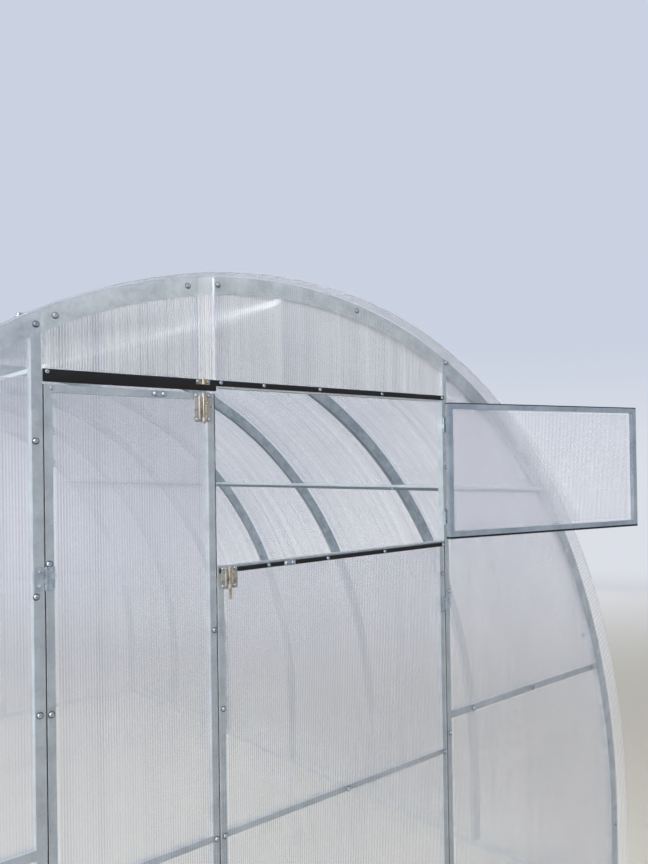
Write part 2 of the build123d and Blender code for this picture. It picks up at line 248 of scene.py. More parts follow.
def twin_wall(name, across, bars=(), under_arch=False, lines=0.5, clarity=0.8, skin="#eeeff5",
              shade="#858a9e", frost=1.0, cover_range=(0.48, 0.84)):
    """Clear fluted sheet. The webs repeat in the direction across, and lines is how plainly they show.

    frost is how much the skins blur, and cover_range is how much the clearest and milkiest spots hide.
    """
    made, tree = start_material(name)
    place = add_node(tree, "ShaderNodeTexCoord").outputs["Object"]
    run = add_node(tree, "ShaderNodeVectorMath", {0: place, 1: across},
                   operation="DOT_PRODUCT").outputs["Value"]
    covered = over_tubes(tree, place, run, bars, under_arch)
    open_bay = add_node(tree, "ShaderNodeMath", {0: 1.0, 1: covered}, operation="SUBTRACT").outputs[0]
    count = add_node(tree, "ShaderNodeMath", {0: run, 1: 1 / flute_pitch}, operation="MULTIPLY").outputs[0]
    phase = add_node(tree, "ShaderNodeMath", {0: count}, operation="FRACT").outputs[0]
    fold = add_node(tree, "ShaderNodeMath", {0: count, 1: 0.5}, operation="PINGPONG").outputs[0]
    web = add_node(tree, "ShaderNodeMapRange", {
        "Value": fold, "From Min": web_core, "From Max": web_edge, "To Min": 1.0, "To Max": 0.0},
        interpolation_type="SMOOTHSTEP").outputs[0]
    beside = add_node(tree, "ShaderNodeMath", {0: phase, 1: painted_glint_middle, 2: painted_glint_half},
                      operation="COMPARE").outputs[0]
    wide = add_node(tree, "ShaderNodeMath", {0: run, 1: 1 / streak_size}, operation="MULTIPLY").outputs[0]
    streak = add_node(tree, "ShaderNodeTexNoise", {"W": wide, "Scale": 1.0, "Detail": 7.0, "Roughness": 0.68},
                      noise_dimensions="1D").outputs["Fac"]
    streak = add_node(tree, "ShaderNodeMapRange", {
        "Value": streak, "From Min": 0.34, "From Max": 0.66}).outputs[0]
    streak = add_node(tree, "ShaderNodeMath", {0: streak, 1: open_bay}, operation="MULTIPLY").outputs[0]
    streak = add_node(tree, "ShaderNodeMath", {0: streak, 1: lines}, operation="MULTIPLY").outputs[0]
    haze = add_node(tree, "ShaderNodeTexNoise", {
        "Vector": place, "Scale": 1 / haze_size, "Detail": 4.0}).outputs["Fac"]
    dark = add_node(tree, "ShaderNodeMath", {0: web, 1: streak}, operation="MULTIPLY").outputs[0]
    skin_colour = add_node(tree, "ShaderNodeMix", {"Factor": dark, 6: linear(skin), 7: linear(shade)},
                           data_type="RGBA").outputs[2]
    # Painted highlight: a white line beside each web, the painted glint.
    painted_glint = add_node(tree, "ShaderNodeMath", {0: beside, 1: streak}, operation="MULTIPLY").outputs[0]
    colour = add_node(tree, "ShaderNodeMix", {"Factor": painted_glint, 6: skin_colour, 7: linear("#ffffff")},
                      data_type="RGBA").outputs[2]
    drawn = add_node(tree, "ShaderNodeMath", {0: web, 1: beside}, operation="MAXIMUM").outputs[0]
    milk = add_node(tree, "ShaderNodeMath", {0: drawn, 1: 0.4 * lines, 2: haze},
                    operation="MULTIPLY_ADD").outputs[0]
    cover = add_node(tree, "ShaderNodeMapRange", {
        "Value": milk, "From Min": 0.35, "From Max": 0.95,
        "To Min": cover_range[0], "To Max": cover_range[1]}).outputs[0]
    cover = add_node(tree, "ShaderNodeMix", {"Factor": covered, "A": cover, "B": over_tube_cover},
                     data_type="FLOAT").outputs[0]
    rough = add_node(tree, "ShaderNodeMapRange", {
        "Value": haze, "From Min": 0.3, "From Max": 0.7,
        "To Min": 0.06 * frost, "To Max": 0.14 * frost}).outputs[0]
    turn = add_node(tree, "ShaderNodeMath", {0: count, 1: math.tau}, operation="MULTIPLY").outputs[0]
    wave = add_node(tree, "ShaderNodeMath", {0: turn}, operation="COSINE").outputs[0]
    bump = add_node(tree, "ShaderNodeBump", {"Strength": 1.0, "Distance": surface_relief, "Height": wave})
    shader = add_node(tree, "ShaderNodeBsdfPrincipled", {
        "Base Color": colour, "Roughness": rough, "IOR": 1.3, "Transmission Weight": clarity,
        "Alpha": cover, "Normal": bump.outputs[0]})
    add_node(tree, "ShaderNodeOutputMaterial", {"Surface": shader.outputs[0]})
    return made


print("flutes across the front:", round(width / 1000 / flute_pitch))

# %% [markdown]
# ## The sheets of this house
#
# The same plastic looks different from sheet to sheet. The roof's flutes run over the arches, so their
# pattern repeats along the house, and those of the walls and leaves stand upright. The sheet over the
# doorway is less frosted, so that the ridge tube shows through it as a soft band, and its flutes show
# most. Its skin is also whiter than that of the end walls, which is painted light, because that sheet stands
# in brighter light. The window sash is swung back until it stands 14 degrees off the wall beside it, so
# its flutes and tubes are measured along the sash itself, starting from its hinge pin.

# %% Sheets of this house
posts = node_bars("run", 0, 0.006, "front_post_left", "front_post_right")
wall_bars = posts + node_bars("height", 2, 0.004, "front_rail_left", "front_head_bar")
arch_bars = node_bars("run", 1, 0.0, *(f"arch_{i}" for i in range(1, 8)))
along_wall, along_house = (1, 0, 0), (0, 1, 0)
wall_sheet = twin_wall("twin-wall polycarbonate, end walls", along_wall, wall_bars, under_arch=True,
                       lines=0.3)
# The whiter skin of the sheet over the doorway is painted light.
top_sheet = twin_wall("twin-wall polycarbonate, over the doorway", along_wall, wall_bars, under_arch=True,
                      lines=1.2, clarity=0.65, skin="#ffffff", shade="#a0a5b8", frost=0.5,
                      cover_range=(0.44, 0.8))
leaf_rail = 0.8125
left_leaf_sheet = twin_wall("twin-wall polycarbonate, left leaf", along_wall,
                            leaf_bars("left_leaf_frame", leaf_rail), lines=0.55)
right_leaf_sheet = twin_wall("twin-wall polycarbonate, right leaf", along_wall,
                             leaf_bars("right_leaf_frame", leaf_rail), lines=0.4)
roof_sheet = twin_wall("twin-wall polycarbonate, roof", along_house, arch_bars, lines=0.8, clarity=0.88,
                       skin="#fcfcff")

pin_reach, sash_angle = 572.5, math.radians(14)
sash_pin = Vector((pin_reach / 1000, -0.0178, 0))
sash_start, sash_width, sash_spread = 0.0025, 0.7565, 0.006
sash_run = (math.cos(sash_angle), -math.sin(sash_angle), 0)
sash_near = sash_pin.dot(Vector(sash_run)) + sash_start
sash_low, sash_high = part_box("sash_frame")
sash_bars = frame_bars(sash_near, sash_near + sash_width, sash_low[2], sash_high[2])
sash_bars = [(kind, middle, half + sash_spread) for kind, middle, half in sash_bars]
sash_sheet = twin_wall("twin-wall polycarbonate, sash", sash_run, sash_bars, lines=0.2)
sheets = (wall_sheet, top_sheet, left_leaf_sheet, right_leaf_sheet, roof_sheet, sash_sheet)
print("sheet finishes:", "; ".join(m.name for m in sheets))

# %% [markdown]
# ## The cut edge of a sheet
#
# Where a sheet is sawn, its edge scatters light and looks nearly white. It is the same plastic, but the saw
# leaves it rougher than the skins, and it is drawn opaque. A noise with spots of 2 mm gives the saw marks.

# %% Cut edge of a sheet
saw_mark = 0.002
cut_edge, tree = start_material("polycarbonate, sawn edge")
place = add_node(tree, "ShaderNodeTexCoord").outputs["Object"]
saw = add_node(tree, "ShaderNodeTexNoise", {
    "Vector": place, "Scale": 1 / saw_mark, "Detail": 3.0}).outputs["Fac"]
colour = add_node(tree, "ShaderNodeMix", {"Factor": saw, 6: linear("#eef0f6"), 7: linear("#c9cedb")},
                  data_type="RGBA")
rough = add_node(tree, "ShaderNodeMapRange", {"Value": saw, "To Min": 0.25, "To Max": 0.5}).outputs[0]
bump = add_node(tree, "ShaderNodeBump", {"Strength": 0.3, "Distance": surface_relief, "Height": saw})
shader = add_node(tree, "ShaderNodeBsdfPrincipled", {
    "Base Color": colour.outputs[2], "Roughness": rough, "IOR": 1.5, "Normal": bump.outputs[0]})
add_node(tree, "ShaderNodeOutputMaterial", {"Surface": shader.outputs[0]})
print("material:", cut_edge.name)

# %% [markdown]
# ## EPDM rubber
#
# The strips over the door joints, the seals and the washers are EPDM, the black rubber of roofs. It is
# never quite black outdoors: dust sits in its pores. The base is nearly black, a fine noise gives the
# pores, and a larger one lets the dust come and go.

# %% EPDM rubber
pore_size, dust_size = 0.0015, 0.05
rubber, tree = start_material("moulded EPDM rubber")
place = add_node(tree, "ShaderNodeTexCoord").outputs["Object"]
pores = add_node(tree, "ShaderNodeTexNoise", {
    "Vector": place, "Scale": 1 / pore_size, "Detail": 3.0}).outputs["Fac"]
dust = add_node(tree, "ShaderNodeTexNoise", {
    "Vector": place, "Scale": 1 / dust_size, "Detail": 4.0}).outputs["Fac"]
dusty = add_node(tree, "ShaderNodeMapRange", {"Value": dust, "From Min": 0.45, "From Max": 0.75}).outputs[0]
colour = add_node(tree, "ShaderNodeMix", {"Factor": dusty, 6: linear("#0b0b0d"), 7: linear("#19181b")},
                  data_type="RGBA")
rough = add_node(tree, "ShaderNodeMapRange", {"Value": dust, "To Min": 0.5, "To Max": 0.72}).outputs[0]
bump = add_node(tree, "ShaderNodeBump", {"Strength": 0.35, "Distance": surface_relief, "Height": pores})
shader = add_node(tree, "ShaderNodeBsdfPrincipled", {
    "Base Color": colour.outputs[2], "Roughness": rough, "Specular IOR Level": 0.35,
    "Normal": bump.outputs[0]})
add_node(tree, "ShaderNodeOutputMaterial", {"Surface": shader.outputs[0]})
print("material:", rubber.name)

# %% [markdown]
# ## Dress the engineering model
#
# Each node of the engineering model has one material slot. Its name says what it is made of, so a short
# table of words picks the finish. The mesh itself is left alone.

# %% Finishes of the engineering model
finishes = [
    ("roof_sheet", roof_sheet), ("sash_sheet", sash_sheet), ("left_leaf_sheet", left_leaf_sheet),
    ("right_leaf_sheet", right_leaf_sheet), ("front_sheet_top", top_sheet), ("sheet", wall_sheet),
    ("strip", rubber), ("seals", rubber), ("hinges", plate_zinc), ("keeper", latch_zinc),
    ("latch", latch_zinc), ("sash", sash_zinc), ("arch_1", front_zinc), ("arch", arch_zinc_painted_shade),
    ("ridge", ridge_zinc_painted_light), ("purlin", purlin_zinc_painted_light_and_shade), ("", tube_zinc),
]
for name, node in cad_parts.items():
    finish = next(material for word, material in finishes if word in name)
    for slot in node.material_slots:
        slot.material = finish
print("nodes dressed:", len(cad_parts))

# %% [markdown]
# ## The camera
#
# The camera stands where the picture was taken: at eye height, 1.6 m in front of the wall and to the left
# of the doorway, turned 43 degrees to the right. Its place, turn and lens were solved from measured points
# of the real frame. The picture's middle isn't the lens's middle, so a small shift puts it right.

# %% Camera
photo_wide, photo_high, sensor_high = 648, 864, 36
focal_pixels, optical_middle = 786.9, (376.4, 456.2)
eye = (-1.1358, -1.5786, 1.6562)
yaw, pitch, roll = (math.radians(a) for a in (42.664, 0.476, -0.873))

ahead = Vector((math.sin(yaw) * math.cos(pitch), math.cos(yaw) * math.cos(pitch), math.sin(pitch)))
level_right = Vector((math.cos(yaw), -math.sin(yaw), 0))
level_up = level_right.cross(ahead)
right = level_right * math.cos(roll) + level_up * math.sin(roll)
up = level_up * math.cos(roll) - level_right * math.sin(roll)
camera = bpy.data.objects.new("camera", bpy.data.cameras.new("camera"))
scene.collection.objects.link(camera)
camera.matrix_world = Matrix.Translation(eye) @ Matrix((right, up, -ahead)).transposed().to_4x4()
camera.data.lens = focal_pixels / photo_high * sensor_high
camera.data.shift_x = (photo_wide / 2 - optical_middle[0]) / photo_high
camera.data.shift_y = (optical_middle[1] - photo_high / 2) / photo_high
camera.data.clip_start = 0.05
scene.camera = camera
print("lens:", round(camera.data.lens, 2), "mm")

# %% [markdown]
# ## Backdrop
#
# Clear sheet shows whatever stands behind it, so the backdrop matters as much as the lamps. The world lights
# the object with a dim even white, as an overcast sky does. What the camera, mirrors and glass see of it is
# a cool grey, paler at the horizon, which lets the milky sheet and the bright tubes stand out.

# %% Backdrop
sky_strength, horizon_low, horizon_high = 0.32, -0.02, 0.16
backdrop_colour = linear("#dcdfe7")
world = bpy.data.worlds.new("studio")
scene.world = world
world.use_nodes = True
tree = world.node_tree
tree.nodes.clear()
path = add_node(tree, "ShaderNodeLightPath")
seen = add_node(tree, "ShaderNodeMath", {0: path.outputs["Is Camera Ray"], 1: path.outputs["Is Glossy Ray"]},
                operation="MAXIMUM").outputs[0]
seen = add_node(tree, "ShaderNodeMath", {0: seen, 1: path.outputs["Is Transmission Ray"]},
                operation="MAXIMUM").outputs[0]
sky_light = add_node(tree, "ShaderNodeBackground", {"Color": linear("#ffffff"), "Strength": sky_strength})
way = add_node(tree, "ShaderNodeTexCoord").outputs["Generated"]
climb = add_node(tree, "ShaderNodeSeparateXYZ", {"Vector": way}).outputs["Z"]
climb = add_node(tree, "ShaderNodeMapRange", {
    "Value": climb, "From Min": horizon_low, "From Max": horizon_high},
    interpolation_type="SMOOTHSTEP").outputs[0]
sky_colour = add_node(tree, "ShaderNodeMix", {"Factor": climb, 6: backdrop_colour, 7: linear("#cad2e1")},
                      data_type="RGBA").outputs[2]
sky_seen = add_node(tree, "ShaderNodeBackground", {"Color": sky_colour, "Strength": 1.0})
both = add_node(tree, "ShaderNodeMixShader", {0: seen, 1: sky_light.outputs[0], 2: sky_seen.outputs[0]})
add_node(tree, "ShaderNodeOutputWorld", {"Surface": both.outputs[0]})
print("world:", world.name)

# %% [markdown]
# ## Floor
#
# The floor is a plain pale disc. Near the house it takes light and shadow, and further out it fades into the
# horizon's grey, so that no hard line cuts the picture. It isn't part of the object. It lies a hair below
# the base rails.

# %% Floor
floor_radius, floor_middle, floor_drop = 60, 2, 0.002
fade_start, fade_end = 3.0, 11.0
floor_paint, tree = start_material("pale floor paint")
place = add_node(tree, "ShaderNodeTexCoord").outputs["Object"]
reach = add_node(tree, "ShaderNodeVectorMath", {0: place}, operation="LENGTH").outputs["Value"]
far = add_node(tree, "ShaderNodeMapRange", {
    "Value": reach, "From Min": fade_start, "From Max": fade_end},
    interpolation_type="SMOOTHSTEP").outputs[0]
near_floor = add_node(tree, "ShaderNodeBsdfDiffuse", {"Color": linear("#c8c6be")})
far_floor = add_node(tree, "ShaderNodeEmission", {"Color": backdrop_colour, "Strength": 1.0})
both = add_node(tree, "ShaderNodeMixShader", {0: far, 1: near_floor.outputs[0], 2: far_floor.outputs[0]})
add_node(tree, "ShaderNodeOutputMaterial", {"Surface": both.outputs[0]})

shape = bmesh.new()
bmesh.ops.create_circle(shape, cap_ends=True, segments=96, radius=floor_radius)
bmesh.ops.translate(shape, verts=shape.verts, vec=(0, floor_middle, -floor_drop))
mesh = bpy.data.meshes.new("floor")
shape.to_mesh(mesh)
shape.free()
mesh.materials.append(floor_paint)
floor = bpy.data.objects.new("floor", mesh)
scene.collection.objects.link(floor)
print("floor:", 2 * floor_radius, "m across")

# %% [markdown]
# ## Lamps
#
# Two large soft lamps do the rest. One hangs high at the front left and lights the left flanks of posts and
# stiles. It casts no shadow, because a clear sheet would otherwise stop its light. The other stands low
# behind the right side and lifts the milky roof. Neither lamp is seen through a sheet, where it would burn a
# white spot.

# %% Lamps
def soft_lamp(name, place, aim, wide, high, watts, shadow=True):
    """A flat oval lamp, aimed at a point. It isn't seen, neither directly nor through the sheets."""
    lamp = bpy.data.lights.new(name, "AREA")
    lamp.shape = "ELLIPSE"
    lamp.size = wide
    lamp.size_y = high
    lamp.energy = watts
    lamp.use_shadow = shadow
    stand = bpy.data.objects.new(name, lamp)
    scene.collection.objects.link(stand)
    stand.location = place
    stand.rotation_euler = (Vector(aim) - Vector(place)).to_track_quat("-Z", "Y").to_euler()
    stand.visible_camera = False
    stand.visible_transmission = False
    print(f"{name}: {watts} W over {wide} by {high} m")


soft_lamp("left lamp", (-6.2, -1.1, 5.4), (0, 0.5, 1.4), 7.0, 7.0, 900, shadow=False)
soft_lamp("right lamp", (6.5, 5.2, 2.4), (0.8, 1.2, 1.2), 6.0, 5.0, 120)

# %% [markdown]
# ## Templates for small metal parts
#
# Bolts and screws are turned parts: one profile spun about an axis. Small plates are pressed: a cube is
# stretched flat, its four corner edges are bevelled round, and its rim gets a finer bevel. Each part is
# made once, as a template at the origin. A turned part stands there with its head up, and a plate stands
# upright and looks to the front.

# %% Turned and pressed templates
corner_steps, rim_steps = 5, 2


def turned(profile, steps):
    """A closed shape spun about Z from a profile of (radius, height) points in millimetres."""
    shape = bmesh.new()
    line = [shape.verts.new((r / 1000, 0, z / 1000)) for r, z in profile]
    for a, b in zip(line, line[1:]):
        shape.edges.new((a, b))
    bmesh.ops.spin(shape, geom=shape.verts[:] + shape.edges[:], cent=(0, 0, 0), axis=(0, 0, 1),
                   angle=math.tau, steps=steps, use_merge=True, use_duplicate=False)
    bmesh.ops.remove_doubles(shape, verts=shape.verts, dist=1e-6)
    bmesh.ops.recalc_face_normals(shape, faces=shape.faces)
    mesh = bpy.data.meshes.new("template")
    shape.to_mesh(mesh)
    shape.free()
    return mesh


def pressed_plate(wide, thick, high, corner, rim):
    """A template: an upright plate with round corners and a soft rim. Its back is at Y = 0."""
    shape = bmesh.new()
    bmesh.ops.create_cube(shape, size=1)
    bmesh.ops.scale(shape, verts=shape.verts, vec=(wide / 1000, thick / 1000, high / 1000))
    bmesh.ops.translate(shape, verts=shape.verts, vec=(0, -thick / 2000, 0))
    corners = [e for e in shape.edges if abs(e.verts[0].co.y - e.verts[1].co.y) > 1e-5]
    bmesh.ops.bevel(shape, geom=corners, offset=corner / 1000, segments=corner_steps, profile=0.5,
                    affect="EDGES", material=-1)
    front_rim = [e for e in shape.edges if all(v.co.y < -thick / 2000 for v in e.verts)]
    bmesh.ops.bevel(shape, geom=front_rim, offset=rim / 1000, segments=rim_steps, profile=0.5,
                    affect="EDGES", material=-1)
    mesh = bpy.data.meshes.new("template")
    shape.to_mesh(mesh)
    shape.free()
    return mesh


print("steps round the corner of a plate:", corner_steps, "and over its rim:", rim_steps)

# %% [markdown]
# ## Places and pieces
#
# A template is stamped wherever a part is fitted. Each stamp is a matrix that turns the part's head to look
# outwards and carries it to its place, so the finished object itself stays at the origin. Each piece then
# gets its material and the body of the model that it moves with. Where a node of the engineering
# model carries a part, the node's own box says where it goes.

# %% Places and pieces
smooth_below = math.radians(35)


def facing(point, out):
    """The place of a part that stands on a point, given in millimetres, and looks along out."""
    turn = Vector(out).to_track_quat("Z", "Y").to_matrix().to_4x4()
    return Matrix.Translation(Vector(point) / 1000) @ turn


def at(x, y, z):
    """The place of a part that isn't turned, in millimetres."""
    return Matrix.Translation((x / 1000, y / 1000, z / 1000))


def finished(name, shape, material, body, smooth=False):
    """Turns a bmesh into a piece with a finish, which moves with a body of the model."""
    mesh = bpy.data.meshes.new(name)
    shape.to_mesh(mesh)
    shape.free()
    mesh.materials.append(material)
    if smooth:
        mesh.shade_smooth()
        mesh.set_sharp_from_angle(angle=smooth_below)
    piece = bpy.data.objects.new(name, mesh)
    scene.collection.objects.link(piece)
    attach(piece, body)
    print(f"{name}: {len(mesh.polygons)} faces")
    return piece


def assembled(name, parts, material, body):
    """One piece put together from templates, each given with its place."""
    shape = bmesh.new()
    for template, place in parts:
        old = len(shape.verts)
        shape.from_mesh(template)
        shape.verts.ensure_lookup_table()
        bmesh.ops.transform(shape, matrix=place, verts=shape.verts[old:])
    return finished(name, shape, material, body, smooth=True)


def stamped(name, template, places, material, body):
    """One piece made of copies of a template, each at its own place."""
    return assembled(name, [(template, place) for place in places], material, body)


def box_of(node):
    """The lowest and highest corner of a node of the engineering model, in millimetres."""
    low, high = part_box(node)
    return [v * 1000 for v in low], [v * 1000 for v in high]


left_frame, right_frame = box_of("left_leaf_frame"), box_of("right_leaf_frame")
print("left leaf:", round(left_frame[1][0] - left_frame[0][0]), "mm wide")

# %% [markdown]
# ## Dome bolts
#
# The sheets are held by bolts with low domed heads, 11 mm across, on a rubber washer that seals the hole and
# shows as a thin dark rim. The dome has a small round socket. A bolt that can be seen on the real front
# has its place here, and the others carry that rhythm on to where nothing can be seen.

# %% Dome bolts
bolt_head = turned([(0, 2.0), (1.5, 2.0), (1.9, 3.6), (2.6, 3.8), (3.9, 3.3), (5.0, 2.3), (5.7, 1.1),
                    (5.7, 0.5), (5.2, 0.3), (0, 0.3)], 20)
bolt_washer = turned([(0, 0), (6.3, 0), (6.8, 0.3), (6.8, 0.6), (6.4, 0.9), (0, 0.9)], 20)

wall_face = box_of("front_sheet_left")[0][1]
front = (0, -1, 0)
arch_bolts = [(-586, 1935), (-549, 1956), (-256, 2056), (-179, 2069), (244, 2060), (591, 1948),
              (1288, 1034), (1451, 616), (1120, 1440), (-1120, 1440), (-1288, 1034), (-1451, 616)]
post_bolts = [(-589, 1708), (-591, 1407), (-587, 1178), (-585, 816), (-585, 450), (-585, 120),
              (585, 1640), (589, 1275), (585, 860), (585, 450), (585, 120)]
rail_bolts = [(-1340, 910), (-990, 910), (-690, 910), (690, 910), (990, 910), (1340, 910)]
foot_bolts = [(-1480, 300), (1480, 300), (-1200, 10), (-900, 10), (900, 10), (1200, 10)]
wall_bolts = arch_bolts + post_bolts + rail_bolts + foot_bolts
bolts = {
    "house": wall_bolts,
    "left_leaf": [(-566, 1468), (-565, 1175), (-563, 812), (-563, 250), (-200, 1283), (-201, 812),
                  (-201, 250), (-380, 32)],
    "right_leaf": [(561, 1330), (561, 812), (561, 120), (-179, 1100), (-179, 812), (-179, 120),
                   (190, 812), (190, 32)],
}
for body, spots in bolts.items():
    places = [facing((x, wall_face, z), front) for x, z in spots]
    stamped(f"{body}_front_bolts", bolt_head, places, plate_zinc, body)
    stamped(f"{body}_front_bolt_washers", bolt_washer, places, rubber, body)

rear_face = box_of("rear_sheet_middle")[1][1]
rear_spots = wall_bolts + [(-380, 1840), (0, 1840), (380, 1840), (-380, 10), (0, 10), (380, 10)]
places = [facing((x, rear_face, z), (0, 1, 0)) for x, z in rear_spots]
stamped("rear_bolts", bolt_head, places, plate_zinc, "house")
stamped("rear_bolt_washers", bolt_washer, places, rubber, "house")

# %% [markdown]
# ## Roof screws and purlin bolts
#
# The roof sheets are screwed down to every arch through a wide washer, and the purlins are bolted to the
# arches from inside, which shows in the open window as a bright dot on each crossing. Both rows follow the
# arch, which is half an ellipse on short straight legs. A small function gives a point of it and the way its
# surface looks, and one more profile makes the washer.

# %% Roof screws and purlin bolts
bay_pitch, head_lift = 663, 1.6
roof_washer = turned([(0, 0), (11, 0), (11.6, 0.5), (10.6, 1.5), (7.5, 2.0), (0, 2.0)], 24)


def on_arch(angle, inset, y):
    """A point of the arch a set distance inside its outer face, and the way out of it."""
    side, rise = width / 2, height - leg_height
    out = Vector((math.cos(angle) / side, 0, math.sin(angle) / rise)).normalized()
    return Vector((side * math.cos(angle), y, leg_height + rise * math.sin(angle))) - out * inset, out


bay_lines = [i * bay_pitch for i in range(7)]
roof_angles = [math.radians(a) for a in (22, 44, 66, 114, 136, 158)]
roof_skin = box_of("roof_sheet_front")[1][0] - width / 2
screw_spots = [on_arch(a, -roof_skin, y) for a in roof_angles for y in bay_lines]
places = [facing(point, out) for point, out in screw_spots]
stamped("roof_screw_washers", roof_washer, places, plate_zinc, "house")
places = [facing(point + out * head_lift, out) for point, out in screw_spots]
stamped("roof_screws", bolt_head, places, plate_zinc, "house")

places = []
for name in ("side_purlin_left", "side_purlin_right", "ridge_purlin"):
    low, high = box_of(name)
    x, z = (low[0] + high[0]) / 2, (low[2] + high[2]) / 2
    angle = math.atan2((z - leg_height) / (height - leg_height), x / (width / 2))
    inward = -on_arch(angle, 0, 0)[1]
    places += [facing(Vector((x, y, z)) + inward * slim_tube / 2, inward) for y in bay_lines[1:-1]]
stamped("purlin_bolts", bolt_head, places, plate_zinc, "house")

# %% [markdown]
# ## Rubber strips
#
# The strip over each joint of the doorway is a flat rubber extrusion with a rounded face. It is screwed on at
# a few points only, so it lies a little wavy between them. Each run starts as a cube stretched to the
# strip's size. A wide bevel on its two long front edges rounds the face, cuts across it let it bend, and a
# sine wave pushes it gently up and down. The runs leave room for the keeper and for the lower latch.

# %% Rubber strips
strip_bulge, shortest_run = 0.9, 2
gap_round_metal = 0.4
wave_rise, wave_run, cut_pitch = 0.5, 47, 18


def strip_run(shape, low, high):
    """Adds one run of rounded, slightly wavy rubber between two corners given in millimetres."""
    run = bmesh.new()
    bmesh.ops.create_cube(run, size=1)
    span = Vector(high) - Vector(low)
    middle = (Vector(low) + Vector(high)) / 2
    bmesh.ops.scale(run, verts=run.verts, vec=span / 1000)
    long_edges = [e for e in run.edges if abs(e.verts[0].co.x - e.verts[1].co.x) > 0]
    face_edges = [e for e in long_edges if all(v.co.y < 0 for v in e.verts)]
    bmesh.ops.bevel(run, geom=face_edges, offset=min(span.y * 0.9, span.z * 0.3) / 1000, segments=4,
                    profile=0.5, affect="EDGES", material=-1)
    along = [e for e in run.edges if abs(e.verts[0].co.x - e.verts[1].co.x) > span.x / 2000]
    bmesh.ops.subdivide_edges(run, edges=along, cuts=max(1, int(span.x / cut_pitch)))
    for vert in run.verts:
        x = vert.co.x * 1000 + middle.x
        vert.co.z += wave_rise / 1000 * math.sin(x / wave_run) * (vert.co.y < 0)
    bmesh.ops.translate(run, verts=run.verts, vec=middle / 1000)
    mesh = bpy.data.meshes.new("run")
    run.to_mesh(mesh)
    run.free()
    shape.from_mesh(mesh)


def rubber_strip(name, node, gaps, body):
    """A strip in place of a node: runs over its whole height, and shorter ones under each gap."""
    low, high = box_of(node)
    low[1] -= strip_bulge
    shape = bmesh.new()
    starts = [low[0]] + [gap_high[0] + gap_round_metal for gap_low, gap_high in gaps]
    ends = [gap_low[0] - gap_round_metal for gap_low, gap_high in gaps] + [high[0]]
    for start, end in zip(starts, ends):
        if end - start > shortest_run:
            strip_run(shape, (start, low[1], low[2]), (end, high[1], high[2]))
    for gap_low, gap_high in gaps:
        if gap_low[2] - gap_round_metal - low[2] > shortest_run:
            strip_run(shape, (gap_low[0] - gap_round_metal, low[1], low[2]),
                      (gap_high[0] + gap_round_metal, high[1], gap_low[2] - gap_round_metal))
    piece = finished(name, shape, rubber, body, smooth=True)
    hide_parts(node)


keeper_box = box_of("latch_keeper")
lower_latch_box = box_of("right_leaf_latch")
rubber_strip("leaf_head_strip", "head_strip_left", [keeper_box], "house")
rubber_strip("window_head_strip", "head_strip_right", [], "house")
rubber_strip("window_sill_strip", "sill_strip", [lower_latch_box], "right_leaf")

# %% [markdown]
# ## Bulb seals of the door joints
#
# The upright joints of the doorway are closed by a slim bulb seal, which shows between the posts and the
# leaves as a fine dark line. Each one is a small round face, drawn out over the height of its leaf. It is
# pressed onto the side of a tube, and it stays clear of the tube across the joint.

# %% Bulb seals
seal_radius, seal_depth = 1.5, -11.5


def bulb_seal(name, side_x, way, z_low, z_high, body):
    """An upright round seal that touches a tube's side at side_x and stands out from it along X."""
    shape = bmesh.new()
    bmesh.ops.create_circle(shape, cap_ends=True, segments=14, radius=seal_radius / 1000)
    grown = bmesh.ops.extrude_face_region(shape, geom=shape.faces[:])
    moved = [v for v in grown["geom"] if isinstance(v, bmesh.types.BMVert)]
    bmesh.ops.translate(shape, verts=moved, vec=(0, 0, (z_high - z_low) / 1000))
    foot = Vector((side_x + way * seal_radius, seal_depth, z_low))
    bmesh.ops.translate(shape, verts=shape.verts, vec=foot / 1000)
    bmesh.ops.recalc_face_normals(shape, faces=shape.faces)
    finished(name, shape, rubber, body, smooth=True)


left_post, right_post = box_of("front_post_left"), box_of("front_post_right")
bulb_seal("left_post_seal", left_post[1][0], 1, left_frame[0][2], left_frame[1][2], "house")
bulb_seal("meeting_seal", left_frame[1][0], 1, left_frame[0][2], left_frame[1][2], "left_leaf")
bulb_seal("right_post_seal", right_post[0][0], -1, right_frame[0][2], right_frame[1][2], "house")

# %% [markdown]
# ## Screws, and plates with two bolts
#
# The strips and fittings are held by pan-head screws, 9 mm across, with a cross recess that is only a dark
# dimple at this distance. Two small plates with a bolt at each end are bolted on, one on the top bar of the
# left leaf and one on the sill. The left leaf's top corner has one more screw. The screws of the hinges
# are smaller, so both profiles are turned here.

# %% Screws and small plates
pan_head = turned([(0, 1.5), (0.9, 1.6), (1.3, 2.7), (2.4, 2.9), (3.6, 2.4), (4.3, 1.5), (4.5, 0.6),
                   (4.4, 0), (0, 0)], 18)
small_head = turned([(0, 0.9), (0.6, 1.0), (0.9, 1.6), (1.8, 1.6), (2.5, 1.1), (2.8, 0.4), (2.8, 0),
                     (0, 0)], 14)

strip_face = box_of("head_strip_right")[0][1] - strip_bulge
sheet_front = box_of("left_leaf_sheet")[0][1]
head_screws = [(-567, 1844), (-177, 1844), (-59, 1844), (112, 1844), (327, 1843), (567, 1843)]
sill_screws = [(-52, 1416), (130, 1415), (329, 1415), (562, 1415)]
places = [facing((x, strip_face, z), front) for x, z in head_screws]
stamped("head_strip_screws", pan_head, places, plate_zinc, "house")
places = [facing((x, strip_face, z), front) for x, z in sill_screws]
stamped("sill_strip_screws", pan_head, places, plate_zinc, "right_leaf")


def two_bolt_plate(name, x, y, z, body):
    """A small rounded plate with a dome bolt at each end, 20 mm apart."""
    thick, spread = 1.5, 10
    parts = [(pressed_plate(34, thick, 11.5, 4.5, 0.4), at(x, y, z))]
    parts += [(bolt_head, facing((x + side * spread, y - thick, z), front)) for side in (-1, 1)]
    assembled(name, parts, plate_zinc, body)


